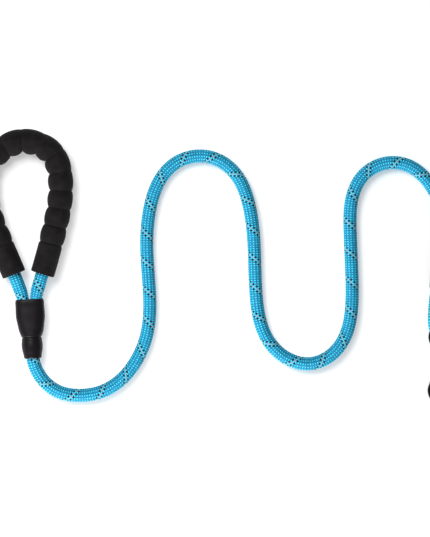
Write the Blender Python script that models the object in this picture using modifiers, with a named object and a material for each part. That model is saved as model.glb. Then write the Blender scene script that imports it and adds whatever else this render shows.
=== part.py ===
"""A training leash laid out on a surface: a foam hand loop, a round braided rope and a swivel bolt snap.

Metres, +Z up. The leash lies in the XY plane on z = 0. +Y runs from the snap's nose towards the sleeves.
Blender 4.5: blender --background --python part.py, or run it from the text editor.
"""

import math

import bmesh
import bpy
import numpy as np
from mathutils import Matrix, Vector

# Clearances
TOUCH_GAP = 0.0003
BORE_GAP = 0.0006
LIE_GAP = 0.0001
HEAD_GAP = 0.0007

# Rope. It is squeezed flat in the crimps and a little at the mouths of the sleeves.
ROPE_RADIUS = 0.00725
ROPE_LIE = ROPE_RADIUS + LIE_GAP
SQUEEZED_RADIUS = ROPE_RADIUS - 0.00135
MOUTH_RADIUS = ROPE_RADIUS - 0.00085
ROPE_STEP = 0.0165
HAND_LOOP_STEP, HOOK_LOOP_STEP = 0.0075, 0.0038

# Foam grip, with its walls measured from the bore
RIB_COUNT = 14
RIB_PITCH = 0.0193
COLLAR_LENGTH = 0.0335
ROPE_BORE = ROPE_RADIUS + BORE_GAP
GROOVE_RADIUS = ROPE_BORE + 0.00355
COLLAR_RADIUS = ROPE_BORE + 0.00505
RIB_RADIUS = ROPE_BORE + 0.0058
GRIP_HEIGHT = RIB_RADIUS + LIE_GAP

# Moulded sleeve, measured from the end where the single rope enters
NECK_LENGTH, BARREL_LENGTH = 0.0226, 0.0405
BARREL_START = NECK_LENGTH + TOUCH_GAP
MOUTH = BARREL_START + BARREL_LENGTH

# Crimp round the two strands in a sleeve
STRAND_SPREAD = SQUEEZED_RADIUS + 0.0005
FERRULE_LENGTH, FERRULE_WALL = 0.0145, 0.0010
FERRULE_END = MOUTH - 0.0040
FERRULE_START = FERRULE_END - FERRULE_LENGTH
CRIMP_ENTRY = FERRULE_START - 0.0015
FERRULE_WIDTH = STRAND_SPREAD + SQUEEZED_RADIUS + FERRULE_WALL + 0.0005
FERRULE_THICKNESS = SQUEEZED_RADIUS + FERRULE_WALL + 0.0012
CRIMP_ROOM_X = FERRULE_WIDTH + TOUCH_GAP
CRIMP_ROOM_Z = FERRULE_THICKNESS + TOUCH_GAP
MOUTH_SPREAD = MOUTH_RADIUS + 0.00055

# The neck's wall over the rope's bore, at shares of the neck's length
NECK_WALLS = [
    (0.0, 0.00075), (0.03, 0.00125), (0.14, 0.00185), (0.33, 0.00275), (0.52, 0.00335),
    (0.71, 0.00335), (0.86, 0.00295), (0.96, 0.00265), (1.0, 0.00225),
]
SLEEVE_HEIGHT = ROPE_BORE + max(wall for share, wall in NECK_WALLS)

# The barrel's walls beside the two strands and above them, at shares of its length from the mouth
BARREL_WALLS = [
    (0.0, 0.0008, 0.0009), (0.024, 0.0011, 0.0014), (0.16, 0.0013, 0.0016), (0.33, 0.0015, 0.0017),
    (0.50, 0.0013, 0.0018), (0.64, 0.0018, 0.0020), (0.79, 0.0028, 0.0024), (0.89, 0.0034, 0.0026),
    (0.955, 0.0031, 0.0027), (0.987, 0.0029, 0.0027), (1.0, 0.0027, 0.0025),
]

# The room between the walls is the crimp's, and narrows to the rope's bore past it: (share of the
# barrel's length from the mouth, share of the way from the bore to the crimp's room)
ROOM_START = (MOUTH - CRIMP_ENTRY + 0.0005) / BARREL_LENGTH
ROOM_TAPER = [(0.0, 1.0), (0.22, 0.82), (0.54, 0.50), (0.80, 0.15), (1.0, 0.01)]
BARREL_ROOM = [(0.0, 0.94), (0.05, 1.0)]
BARREL_ROOM += [(ROOM_START + along * (1 - ROOM_START), widening) for along, widening in ROOM_TAPER]

# Places of the three groups: the two sleeves' rope ends and the centre of the snap's eye
HANDLE_PLACE, HANDLE_TURN = (-0.1944, -0.0988), math.radians(3.46)
HOOK_SLEEVE_PLACE, HOOK_SLEEVE_TURN = (0.2481, 0.0382), math.radians(176.5)
EYE_PLACE = (0.2427, HOOK_SLEEVE_PLACE[1] - MOUTH - 0.0513)

# The two sides of the hand loop, from the sleeve to the top: across the handle, and on from the mouth
LOOP_RIGHT = [
    (0.0102, 0.0121), (0.0157, 0.0268), (0.0261, 0.0569), (0.0329, 0.0787), (0.0381, 0.0985),
    (0.0407, 0.1187), (0.0398, 0.1381), (0.0334, 0.1541), (0.0221, 0.1634),
]
LOOP_LEFT = [
    (-0.0098, 0.0121), (-0.0144, 0.0268), (-0.0250, 0.0569), (-0.0326, 0.0787), (-0.0377, 0.0985),
    (-0.0400, 0.1187), (-0.0387, 0.1365), (-0.0321, 0.1507), (-0.0214, 0.1602),
]
LOOP_TOP = (0.0, 0.1687)

# Route of the free rope between the two sleeves
ROUTE = [
    (-0.1866, -0.1183), (-0.1689, -0.1336), (-0.1443, -0.1384), (-0.1197, -0.1338),
    (-0.0988, -0.1202), (-0.0833, -0.0998), (-0.0735, -0.0760), (-0.0697, -0.0460),
    (-0.0715, -0.0065), (-0.0728, 0.0321), (-0.0694, 0.0620), (-0.0608, 0.0883),
    (-0.0437, 0.1089), (-0.0180, 0.1177), (0.0066, 0.1119), (0.0258, 0.0931),
    (0.0361, 0.0668), (0.0409, 0.0374), (0.0426, 0.0042), (0.0438, -0.0257),
    (0.0476, -0.0557), (0.0579, -0.0809), (0.0767, -0.0983), (0.1018, -0.1045),
    (0.1253, -0.0945), (0.1403, -0.0733), (0.1465, -0.0418), (0.1463, -0.0022),
    (0.1447, 0.0385), (0.1471, 0.0738), (0.1585, 0.0965), (0.1810, 0.1096),
    (0.2056, 0.1080), (0.2270, 0.0917), (0.2409, 0.0674),
]
NECK_LIFT = 0.0011

# Swivel eye: a ring on a headed stem. The snap's frame has its origin at the ring's centre,
# +Y towards the sleeve and -Y along the snap.
RING_RADIUS, RING_WIRE = 0.01375, 0.00225
EYE_ROLL = math.radians(30)
STEM_RADIUS = 0.0025
STEM_COLLAR_RADIUS = 0.0036
HEAD_RADIUS, HEAD_THICKNESS = 0.0040, 0.0024
LEG_SPREAD = 0.0080
BAR_GAP = 0.0007
STRAND_LIFT = 0.0003

# Snap body
BOLT_RADIUS = 0.0025
BORE_RADIUS = BOLT_RADIUS + TOUCH_GAP
SOCKET_TOP = -0.0195
SOCKET_RADIUS, SOCKET_WALL = 0.0065, 0.0053
SOCKET_FLOOR = 0.0035
WINDOW_HEIGHT, WINDOW_WIDTH = HEAD_THICKNESS + 0.0031, 2 * (HEAD_RADIUS + HEAD_GAP)
HOUSING_X = 0.0110
HOUSING_RADIUS = BORE_RADIUS + 0.0027
HOUSING_TOP, HOUSING_LENGTH = -0.0205, 0.0257
HOUSING_BOTTOM = HOUSING_TOP - HOUSING_LENGTH
GATE = 0.0083
TIP_LEVEL = HOUSING_BOTTOM - GATE
BOW_OUTER, BOW_INNER = 0.0150, 0.0085
BOW_START = 152
BOW_CENTRE = TIP_LEVEL - 0.0027
BOW_THICKNESS = 0.0075
BOW_ROUNDING = 0.0018
ROOF_LEVEL = HOUSING_BOTTOM + 0.0042

# Bolt, stud and spring
BOLT_TRAVEL = GATE - TOUCH_GAP
BOLT_LENGTH = 0.0182
BOLT_CHAMFER = 0.0006
BOLT_TIP = TIP_LEVEL + TOUCH_GAP
BOLT_REAR = BOLT_TIP + BOLT_LENGTH
BORE_END = HOUSING_TOP - 0.0018
STUD_Y = BOLT_REAR - 0.0045
STUD_SHANK, STUD_NECK, STUD_KNOB = 0.0012, 0.0018, 0.0033
STUD_TOP = HOUSING_RADIUS + 0.0036
SPRING_RADIUS, SPRING_WIRE, SPRING_TURNS = BOLT_RADIUS - 0.0006, 0.0003, 7
SPRING_STEPS = 10

# Cutters run this far past what they cut, and round ones are turned by part of a facet, so that no
# edge of theirs lies along another's.
OVERRUN = 0.002
CUT_DEPTH = 0.02
FACET_TURN = math.radians(4)

# The bar of the eye lies in the crook of the rope loop, over the strand that is on the surface.
STRAND_TO_BAR = ROPE_RADIUS + RING_WIRE + BAR_GAP
STRAND_RISE = (STRAND_TO_BAR - LEG_SPREAD * math.sin(EYE_ROLL)) / math.cos(EYE_ROLL)
BAR_HEIGHT = ROPE_LIE + STRAND_LIFT + STRAND_RISE


def nose_tilt():
    """The tilt at which the eye's bar is at BAR_HEIGHT and the bow's nose meets the surface."""
    reach = RING_RADIUS + BOW_OUTER - BOW_CENTRE
    half = BOW_THICKNESS / 2
    return math.asin(BAR_HEIGHT / math.hypot(half, reach)) - math.atan2(half, reach)


SNAP_TILT = nose_tilt()
EYE_HEIGHT = BAR_HEIGHT - RING_RADIUS * math.sin(SNAP_TILT)


# ---------------------------------------------------------------- scene and helpers


def clear_scene():
    for obj in list(bpy.data.objects):
        bpy.data.objects.remove(obj)
    for collection in list(bpy.data.collections):
        bpy.data.collections.remove(collection)


def new_collection(name):
    collection = bpy.data.collections.new(name)
    bpy.context.scene.collection.children.link(collection)
    return collection


def material(name, colour, roughness, metallic=0.0):
    made = bpy.data.materials.new(name)
    made.use_nodes = True
    shader = made.node_tree.nodes["Principled BSDF"]
    shader.inputs["Base Color"].default_value = (*colour, 1)
    shader.inputs["Roughness"].default_value = roughness
    shader.inputs["Metallic"].default_value = metallic
    return made


def place(name, data, collection, frame, surface=None):
    obj = bpy.data.objects.new(name, data)
    collection.objects.link(obj)
    obj.parent = frame
    if surface:
        data.materials.append(surface)
    return obj


def empty(name, location, rotation, parent=None):
    obj = place(name, None, parts, parent)
    obj.location = location
    obj.rotation_euler = rotation
    return obj


def as_cutter(obj):
    parts.objects.unlink(obj)
    cutters.objects.link(obj)
    obj.hide_render = True
    obj.display_type = "WIRE"
    return obj


def boolean(obj, operation, tool):
    modifier = obj.modifiers.new(f"{operation.lower()}_{tool.name}", "BOOLEAN")
    modifier.operation = operation
    modifier.object = tool


def smooth_route(points, spacing):
    """Even steps of about `spacing` on the natural cubic spline through `points`."""
    knots = np.array(points, dtype=float)
    step = np.linalg.norm(np.diff(knots, axis=0), axis=1)
    at = np.concatenate(([0.0], np.cumsum(step)))
    slope = np.diff(knots, axis=0) / step[:, None]
    system = np.eye(len(knots))
    right = np.zeros_like(knots)
    for i in range(1, len(knots) - 1):
        system[i, i - 1 : i + 2] = step[i - 1], 2 * (step[i - 1] + step[i]), step[i]
        right[i] = 6 * (slope[i] - slope[i - 1])
    bend = np.linalg.solve(system, right)
    fine = np.linspace(0, at[-1], 40 * len(knots))
    i = np.clip(np.searchsorted(at, fine, side="right") - 1, 0, len(step) - 1)
    width = step[i, None]
    to_next, from_last = (at[i + 1] - fine)[:, None], (fine - at[i])[:, None]
    curve = (bend[i] * to_next**3 + bend[i + 1] * from_last**3) / (6 * width)
    curve += (knots[i] / width - bend[i] * width / 6) * to_next
    curve += (knots[i + 1] / width - bend[i + 1] * width / 6) * from_last
    count = max(2, round(route_length(curve) / spacing) + 1)
    return points_at(curve, np.linspace(0, route_length(curve), count))


def distances_along(route):
    return np.concatenate(([0.0], np.cumsum(np.linalg.norm(np.diff(route, axis=0), axis=1))))


def route_length(route):
    return distances_along(route)[-1]


def points_at(route, distances):
    travelled = distances_along(route)
    return np.column_stack([np.interp(distances, travelled, axis) for axis in np.array(route).T])


def tube(name, points, radii, side_level, surface=None, frame=None):
    """A tube of 2 * side_level + 4 sides along `points`. `radii` is one radius or one for each point."""
    curve = bpy.data.curves.new(name, "CURVE")
    curve.dimensions = "3D"
    curve.twist_mode = "MINIMUM"
    curve.bevel_depth = 1.0
    curve.bevel_resolution = side_level
    curve.use_fill_caps = True
    spline = curve.splines.new("POLY")
    spline.points.add(len(points) - 1)
    for point, place_at, radius in zip(spline.points, points, np.broadcast_to(radii, len(points))):
        point.co = (*place_at, 1)
        point.radius = radius
    return place(name, curve, parts, frame, surface)


def to_mesh(curve_object):
    """Turns a curve object into a closed mesh object of the same name."""
    bpy.context.view_layer.update()
    graph = bpy.context.evaluated_depsgraph_get()
    mesh = bpy.data.meshes.new_from_object(curve_object.evaluated_get(graph))
    name, frame = curve_object.name, curve_object.parent
    bpy.data.objects.remove(curve_object)
    shape = bmesh.new()
    shape.from_mesh(mesh)
    bmesh.ops.remove_doubles(shape, verts=shape.verts, dist=1e-6)
    bmesh.ops.recalc_face_normals(shape, faces=shape.faces)
    shape.to_mesh(mesh)
    shape.free()
    mesh.name = name
    return place(name, mesh, parts, frame)


def turned(name, profile, steps, surface=None, frame=None, closed=False):
    """Screws a profile of (radius, height) about Z. An open profile starts and ends on the axis."""
    mesh = bpy.data.meshes.new(name)
    edges = [(i, i + 1) for i in range(len(profile) - 1)]
    if closed:
        edges.append((len(profile) - 1, 0))
    mesh.from_pydata([(radius, 0, height) for radius, height in profile], edges, [])
    obj = place(name, mesh, parts, frame, surface)
    screw = obj.modifiers.new("turn", "SCREW")
    screw.steps = screw.render_steps = steps
    screw.use_merge_vertices = True
    screw.merge_threshold = 0.00001
    screw.use_smooth_shade = True
    return obj


def stand_along_y(obj, x, y, z):
    """Turns an object's own Z to +Y and puts its origin at (x, y, z) in its frame."""
    obj.rotation_euler = (-math.pi / 2, 0, 0)
    obj.location = (x, y, z)
    return obj


def box(name, low, high, frame):
    shape = bmesh.new()
    centre = (Vector(low) + Vector(high)) / 2
    size = Vector(high) - Vector(low)
    bmesh.ops.create_cube(shape, size=1, matrix=Matrix.LocRotScale(centre, None, size))
    mesh = bpy.data.meshes.new(name)
    shape.to_mesh(mesh)
    shape.free()
    return place(name, mesh, parts, frame)


def oval_shell(name, outside, inside, surface, frame, sides=28):
    """A sleeve with a bore. Each ring is (distance along Y, half width in X, half thickness in Z)."""
    shape = bmesh.new()
    rings = []
    for along, half_width, half_thickness in outside + inside[::-1]:
        fullness = 2 / (2 + 1.4 * (half_width / half_thickness - 1))
        ring = []
        for side in range(sides):
            angle = 2 * math.pi * side / sides
            across, up = math.cos(angle), math.sin(angle)
            x = half_width * math.copysign(abs(across) ** fullness, across)
            z = half_thickness * math.copysign(abs(up) ** fullness, up)
            ring.append(shape.verts.new((x, along, z)))
        rings.append(ring)
    for ring, following in zip(rings, rings[1:] + rings[:1]):
        for side in range(sides):
            shape.faces.new((ring[side - 1], ring[side], following[side], following[side - 1]))
    bmesh.ops.recalc_face_normals(shape, faces=shape.faces)
    mesh = bpy.data.meshes.new(name)
    shape.to_mesh(mesh)
    shape.free()
    mesh.shade_smooth()
    mesh.set_sharp_from_angle(angle=math.radians(40))
    obj = place(name, mesh, parts, frame, surface)
    obj.location = (0, 0, SLEEVE_HEIGHT)
    return obj


# ---------------------------------------------------------------- sleeves


def barrel_ring(share, side_wall=0, top_wall=0):
    """A ring of the barrel at this share of its length: the room in it, and its walls round that."""
    shares, widenings = zip(*BARREL_ROOM)
    widening = np.interp(share, shares, widenings)
    half_width = ROPE_BORE + widening * (CRIMP_ROOM_X - ROPE_BORE) + side_wall
    half_thickness = ROPE_BORE + widening * (CRIMP_ROOM_Z - ROPE_BORE) + top_wall
    return MOUTH - share * BARREL_LENGTH, half_width, half_thickness


def make_sleeve(end, frame):
    """The moulded cover of one rope join: a round neck, an oval barrel and the crimp inside it."""
    neck_profile = [(ROPE_BORE + wall, share * NECK_LENGTH) for share, wall in NECK_WALLS[::-1]]
    neck_profile += [(ROPE_BORE, 0.0), (ROPE_BORE, NECK_LENGTH)]
    neck = turned(f"{end}_neck", neck_profile, 28, rubber, frame, closed=True)
    stand_along_y(neck, 0, 0, SLEEVE_HEIGHT)

    outside = [barrel_ring(*walls) for walls in BARREL_WALLS]
    inside = [barrel_ring(share) for share, widening in BARREL_ROOM]
    oval_shell(f"{end}_barrel", outside, inside, rubber, frame)

    outside = [(along, FERRULE_WIDTH, FERRULE_THICKNESS) for along in (FERRULE_END, FERRULE_START)]
    inside = [(along, width - FERRULE_WALL, half - FERRULE_WALL) for along, width, half in outside]
    oval_shell(f"{end}_ferrule", outside, inside, aluminium, frame)


def strand_end(side, joined):
    """Points of one strand inside a sleeve, from its deepest point to the mouth.

    The joined strand runs on to the neck, and the other one is the rope's cut tail.
    """
    crimped = [
        (side * STRAND_SPREAD, CRIMP_ENTRY, SLEEVE_HEIGHT),
        (side * STRAND_SPREAD, 0.5 * (FERRULE_START + FERRULE_END), SLEEVE_HEIGHT),
        (side * MOUTH_SPREAD, MOUTH, SLEEVE_HEIGHT),
    ]
    if not joined:
        return crimped
    run = CRIMP_ENTRY - BARREL_START
    swing = [
        (side * offset * STRAND_SPREAD, BARREL_START + share * run, SLEEVE_HEIGHT)
        for share, offset in ((0.0, 0.0), (0.08, 0.0), (0.16, 0.0), (0.32, 0.06), (0.64, 0.52))
    ]
    return swing + crimped


def strand_radii(route, tail_length, joined_length):
    """The rope's radius at each point: squeezed in the crimp, and full size outside the sleeve."""
    travelled = distances_along(route)
    past_mouth = np.minimum(travelled - tail_length, travelled[-1] - joined_length - travelled)
    return np.interp(
        past_mouth,
        [-0.036, -0.030, -0.022, -0.003, 0.0, 0.010],
        [ROPE_RADIUS - TOUCH_GAP, 0.0066, SQUEEZED_RADIUS, SQUEEZED_RADIUS, MOUTH_RADIUS, ROPE_RADIUS],
    )


def loop_tube(name, tail, middle, joined, step, surface, frame=None):
    """A rope loop from the tail strand's end, through `middle`, to the joined strand's end.

    A point just before the joined end squares it to the free rope's.
    """
    route = smooth_route(tail + middle + joined[::-1], step)
    route = np.insert(route, -1, joined[1], axis=0)
    radii = strand_radii(route, route_length(tail), route_length(joined))
    tube(name, route, radii, 4, surface, frame)
    return route


# ---------------------------------------------------------------- handle


def make_handle(frame):
    make_sleeve("handle", frame)
    outline = LOOP_LEFT + [LOOP_TOP] + LOOP_RIGHT[::-1]
    rise = (GRIP_HEIGHT + SLEEVE_HEIGHT) / 2
    heights = [rise] + [GRIP_HEIGHT] * (len(outline) - 2) + [rise]
    middle = [(across, MOUTH + on, height) for (across, on), height in zip(outline, heights)]
    tail, joined = strand_end(-1, False), strand_end(1, True)
    route = loop_tube("handle_loop_rope", tail, middle, joined, HAND_LOOP_STEP, rope, frame)
    make_grip(route, frame)


def rib_profile():
    """(distance, radius) down the grip: a plain collar, the ribs and a plain collar."""
    rings = [(0.0, COLLAR_RADIUS - 0.0007), (0.0007, COLLAR_RADIUS)]
    rings += [(COLLAR_LENGTH * share, COLLAR_RADIUS) for share in (0.25, 0.5, 0.75, 0.95)]
    rings.append((COLLAR_LENGTH, GROOVE_RADIUS))
    shoulder = 0.5 * (GROOVE_RADIUS + RIB_RADIUS) + 0.0003
    for rib in range(RIB_COUNT):
        start = COLLAR_LENGTH + rib * RIB_PITCH
        for share, radius in ((0.13, shoulder), (0.36, RIB_RADIUS), (0.64, RIB_RADIUS), (0.87, shoulder)):
            rings.append((start + share * RIB_PITCH, radius))
        rings.append((start + RIB_PITCH, GROOVE_RADIUS))
    length = 2 * COLLAR_LENGTH + RIB_COUNT * RIB_PITCH
    rings += [(length - distance, radius) for distance, radius in rings[5::-1]]
    return rings, length


def make_grip(rope_route, frame):
    """The ribbed foam tube, centred on the top of the loop, with a bore for the rope."""
    rings, length = rib_profile()
    middle = distances_along(rope_route)[np.argmax(rope_route[:, 1])]
    start = middle - length / 2
    past = 2 * OVERRUN
    rope_line = smooth_route(rope_route, HAND_LOOP_STEP / 5)
    outside = points_at(rope_line, [start + distance for distance, radius in rings])
    grip = to_mesh(tube("grip_foam", outside, [radius for distance, radius in rings], 5, None, frame))
    grip.data.materials.append(foam)
    grip.data.shade_smooth()
    bore_line = points_at(rope_line, np.linspace(start - past, start + length + past, 46))
    bore = as_cutter(to_mesh(tube("grip_bore", bore_line, ROPE_BORE, 4, None, frame)))
    boolean(grip, "DIFFERENCE", bore)


# ---------------------------------------------------------------- free rope


def in_frame(frame, points):
    return [tuple(frame.matrix_world @ Vector(point)) for point in points]


def make_free_rope(handle, hook_sleeve):
    """The rope between the sleeves. Its ends run up both necks to the strands inside the barrels."""
    inner_end = (0, NECK_LENGTH, SLEEVE_HEIGHT)
    in_neck = (0, NECK_LENGTH / 2, SLEEVE_HEIGHT)
    at_exit = (0, 0, SLEEVE_HEIGHT - 0.0002)
    floor = [(x, y, ROPE_LIE) for x, y in ROUTE]
    floor[0] = (*ROUTE[0], ROPE_LIE + NECK_LIFT)
    floor[-1] = (*ROUTE[-1], ROPE_LIE + NECK_LIFT / 2)
    points = in_frame(handle, [inner_end, in_neck, at_exit])
    points += floor
    points += in_frame(hook_sleeve, [at_exit, in_neck, inner_end])
    line = smooth_route(points, ROPE_STEP / 8)
    length = route_length(line)
    near_neck = np.array([0, 0.5, 0.95, 1.2]) * NECK_LENGTH
    between = np.arange(near_neck[-1] + ROPE_STEP / 2, length - near_neck[-1] - ROPE_STEP / 3, ROPE_STEP)
    distances = np.concatenate([near_neck, between, length - near_neck[::-1]])
    tube("free_rope", points_at(line, distances), ROPE_RADIUS, 3, rope)


# ---------------------------------------------------------------- hook loop and eye


def make_hook_loop(hook_sleeve):
    """The rope loop that carries the eye. It passes over the eye's bar, through the eye and back under."""
    bar = Vector((EYE_PLACE[0], EYE_PLACE[1] + RING_RADIUS * math.cos(SNAP_TILT), BAR_HEIGHT))
    strand = Vector((LEG_SPREAD, 0, -STRAND_RISE))
    down = Vector((0, -strand.length, 0))
    turns = np.radians([0, 45, 90, 135, 180])
    crook = [bar - strand * math.cos(turn) + down * math.sin(turn) for turn in turns]
    upper = (bar.x - LEG_SPREAD, bar.y + 0.0155, BAR_HEIGHT + STRAND_RISE - 0.0032)
    lower = (bar.x + LEG_SPREAD, bar.y + 0.0155, ROPE_LIE + STRAND_LIFT + 0.0005)
    middle = [upper] + [tuple(point) for point in crook] + [lower]
    tail = in_frame(hook_sleeve, strand_end(1, False))
    joined = in_frame(hook_sleeve, strand_end(-1, True))
    loop_tube("hook_loop_rope", tail, middle, joined, HOOK_LOOP_STEP, rope)


def make_eye(frame):
    """The ring and its stem, whose head turns in the body's window."""
    bpy.ops.mesh.primitive_torus_add(
        major_radius=RING_RADIUS, minor_radius=RING_WIRE, major_segments=40, minor_segments=12
    )
    eye = bpy.context.object
    eye.name = "swivel_eye"
    for collection in list(eye.users_collection):
        collection.objects.unlink(eye)
    parts.objects.link(eye)
    eye.parent = frame
    eye.rotation_euler = (0, -EYE_ROLL, 0)
    eye.data.materials.append(black_metal)
    eye.data.shade_smooth()

    head_top = SOCKET_TOP - SOCKET_WALL - TOUCH_GAP
    stem_profile = [
        (0.0, -RING_RADIUS - RING_WIRE / 2),
        (STEM_COLLAR_RADIUS * 0.8, -RING_RADIUS - RING_WIRE / 2),
        (STEM_COLLAR_RADIUS, -RING_RADIUS - RING_WIRE - 0.0004),
        (STEM_COLLAR_RADIUS, SOCKET_TOP + TOUCH_GAP),
        (STEM_RADIUS, SOCKET_TOP + TOUCH_GAP),
        (STEM_RADIUS, head_top),
        (HEAD_RADIUS, head_top),
        (HEAD_RADIUS, head_top - 0.6 * HEAD_THICKNESS),
        (0.6 * HEAD_RADIUS, head_top - HEAD_THICKNESS),
        (0.0, head_top - HEAD_THICKNESS),
    ]
    stem = as_cutter(turned("eye_stem", stem_profile, 24, frame=frame))
    stand_along_y(stem, 0, 0, 0).rotation_euler.y = FACET_TURN
    boolean(eye, "UNION", stem)


# ---------------------------------------------------------------- snap


def bow_point(radius, degrees):
    angle = math.radians(degrees)
    return radius * math.cos(angle), BOW_CENTRE + radius * math.sin(angle)


def plate_outline():
    """The flat outline of spine, bow and root, anticlockwise from the socket's left side."""
    rise = TIP_LEVEL - BOW_CENTRE
    outer_end = 360 + math.degrees(math.asin(rise / BOW_OUTER))
    inner_end = math.degrees(math.asin(rise / BOW_INNER))
    spine_top = SOCKET_TOP - 0.0015
    spine_side = SOCKET_RADIUS - 0.0007
    outer_spine = [
        (-spine_side, spine_top, 0), (-spine_side - 0.0004, spine_top - 0.010, 0),
        (-BOW_OUTER * 0.66, ROOF_LEVEL + 0.002, 0), (*bow_point(BOW_OUTER, BOW_START), 0),
    ]
    inner_spine = [
        (*bow_point(BOW_INNER, BOW_START), 0), (-BOW_INNER * 0.68, ROOF_LEVEL - 0.0048, 0),
        (-BOW_INNER * 0.28, ROOF_LEVEL - 0.0011, 0), (BOW_INNER * 0.3, ROOF_LEVEL, 0),
    ]
    outline = [tuple(point[:2]) for point in smooth_route(outer_spine, 0.004)[:-1]]
    outline += [bow_point(BOW_OUTER, degrees) for degrees in np.linspace(BOW_START, outer_end, 24)]
    inner_arc = np.linspace(inner_end, BOW_START - 360, 22)
    outline += [bow_point(BOW_INNER, degrees) for degrees in inner_arc]
    outline += [tuple(point[:2]) for point in smooth_route(inner_spine, 0.004)[1:]]
    outline += [(HOUSING_X, ROOF_LEVEL), (HOUSING_X, HOUSING_TOP - 0.0015), (spine_side, spine_top)]
    return outline


def make_plate(frame):
    curve = bpy.data.curves.new("snap_body", "CURVE")
    curve.dimensions = "2D"
    curve.fill_mode = "BOTH"
    curve.extrude = BOW_THICKNESS / 2 - BOW_ROUNDING
    curve.bevel_depth = BOW_ROUNDING
    curve.bevel_resolution = 1
    curve.offset = -BOW_ROUNDING
    outline = plate_outline()
    spline = curve.splines.new("POLY")
    spline.points.add(len(outline) - 1)
    for point, (x, y) in zip(spline.points, outline):
        point.co = (x, y, 0, 1)
    spline.use_cyclic_u = True
    return to_mesh(place("snap_body", curve, parts, frame))


def rounded_rod(name, radius, bottom, top, edge, frame):
    profile = [(0, top), (radius - edge, top), (radius, top - edge), (radius, bottom + edge)]
    profile += [(radius - edge, bottom), (0, bottom)]
    return turned(name, profile, 28, frame=frame)


def make_snap_body(frame):
    """The cast body: a plate with the bow, the swivel's socket and the bolt's housing."""
    body = make_plate(frame)
    body.data.materials.append(black_metal)

    socket_bottom = SOCKET_TOP - SOCKET_WALL - WINDOW_HEIGHT - SOCKET_FLOOR
    socket = rounded_rod("socket", SOCKET_RADIUS, socket_bottom, SOCKET_TOP, 0.0008, frame)
    boolean(body, "UNION", as_cutter(stand_along_y(socket, 0, 0, 0)))
    housing = rounded_rod("housing", HOUSING_RADIUS, HOUSING_BOTTOM, HOUSING_TOP, 0.0010, frame)
    boolean(body, "UNION", as_cutter(stand_along_y(housing, HOUSING_X, 0, 0)))

    window_top = SOCKET_TOP - SOCKET_WALL
    half_window = WINDOW_WIDTH / 2
    window = box(
        "window",
        (-half_window, window_top - WINDOW_HEIGHT, -CUT_DEPTH),
        (half_window, window_top, CUT_DEPTH),
        frame,
    )
    boolean(body, "DIFFERENCE", as_cutter(window))
    stem_bore = rounded_rod(
        "stem_bore", STEM_RADIUS + TOUCH_GAP, window_top - OVERRUN, SOCKET_TOP + OVERRUN, 0.0002, frame
    )
    boolean(body, "DIFFERENCE", as_cutter(stand_along_y(stem_bore, 0, 0, 0)))
    bolt_bore = rounded_rod(
        "bolt_bore", BORE_RADIUS, HOUSING_BOTTOM - OVERRUN, BORE_END, 0.0002, frame
    )
    stand_along_y(bolt_bore, HOUSING_X, 0, 0).rotation_euler.y = FACET_TURN
    boolean(body, "DIFFERENCE", as_cutter(bolt_bore))
    side_room = STUD_NECK + TOUCH_GAP
    slot = box(
        "stud_slot",
        (HOUSING_X - side_room, STUD_Y - side_room, 0),
        (HOUSING_X + side_room, STUD_Y + BOLT_TRAVEL + side_room, CUT_DEPTH),
        frame,
    )
    boolean(body, "DIFFERENCE", as_cutter(slot))


def make_bolt(frame):
    """The sliding bolt and the thumb stud screwed into it. Their frame's origin is on the bolt's axis."""
    bolt = rounded_rod("snap_bolt", BOLT_RADIUS, 0, BOLT_LENGTH, BOLT_CHAMFER, frame)
    bolt.data.materials.append(steel)
    stand_along_y(bolt, 0, BOLT_TIP, 0)
    hole_radius = STUD_SHANK + TOUCH_GAP
    hole_profile = [(0, CUT_DEPTH), (hole_radius, CUT_DEPTH), (hole_radius, -TOUCH_GAP), (0, -TOUCH_GAP)]
    hole = turned("stud_hole", hole_profile, 18, frame=frame)
    hole.location = (0, STUD_Y, 0)
    hole.rotation_euler = (0, 0, 2 * FACET_TURN)
    boolean(bolt, "DIFFERENCE", as_cutter(hole))

    stud_profile = [
        (0, STUD_TOP), (0.45 * STUD_KNOB, STUD_TOP - 0.0002), (0.85 * STUD_KNOB, STUD_TOP - 0.0009),
        (STUD_KNOB, STUD_TOP - 0.0019), (STUD_KNOB, HOUSING_RADIUS + 0.0010),
        (0.9 * STUD_KNOB, HOUSING_RADIUS + 0.0006), (STUD_NECK, HOUSING_RADIUS + 0.0006),
        (STUD_NECK, BOLT_RADIUS + TOUCH_GAP), (STUD_SHANK, BOLT_RADIUS + TOUCH_GAP),
        (STUD_SHANK, 0), (0, 0),
    ]
    stud = turned("thumb_stud", stud_profile, 20, steel, frame)
    stud.location = (0, STUD_Y, 0)


def make_spring(frame):
    """The coil between the bolt's rear face and the blind end of its bore."""
    first = BOLT_REAR + SPRING_WIRE + TOUCH_GAP
    last = BORE_END - SPRING_WIRE - TOUCH_GAP
    points = []
    for step in range(SPRING_TURNS * SPRING_STEPS + 1):
        angle = 2 * math.pi * step / SPRING_STEPS
        rise = first + (last - first) * step / (SPRING_TURNS * SPRING_STEPS)
        points.append((SPRING_RADIUS * math.cos(angle), rise, SPRING_RADIUS * math.sin(angle)))
    tube("bolt_spring", points, SPRING_WIRE, 2, steel, frame)


# ---------------------------------------------------------------- assembly

clear_scene()
parts = new_collection("training_leash")
cutters = new_collection("cutters")

rope = material("braided_rope", (0.02, 0.42, 0.78), 0.75)
foam = material("foam", (0.014, 0.013, 0.013), 0.9)
rubber = material("moulded_rubber", (0.016, 0.016, 0.017), 0.5)
black_metal = material("black_plated_metal", (0.02, 0.02, 0.022), 0.32, 1.0)
steel = material("plated_steel", (0.05, 0.05, 0.055), 0.3, 1.0)
aluminium = material("aluminium", (0.75, 0.75, 0.76), 0.4, 1.0)

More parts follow.
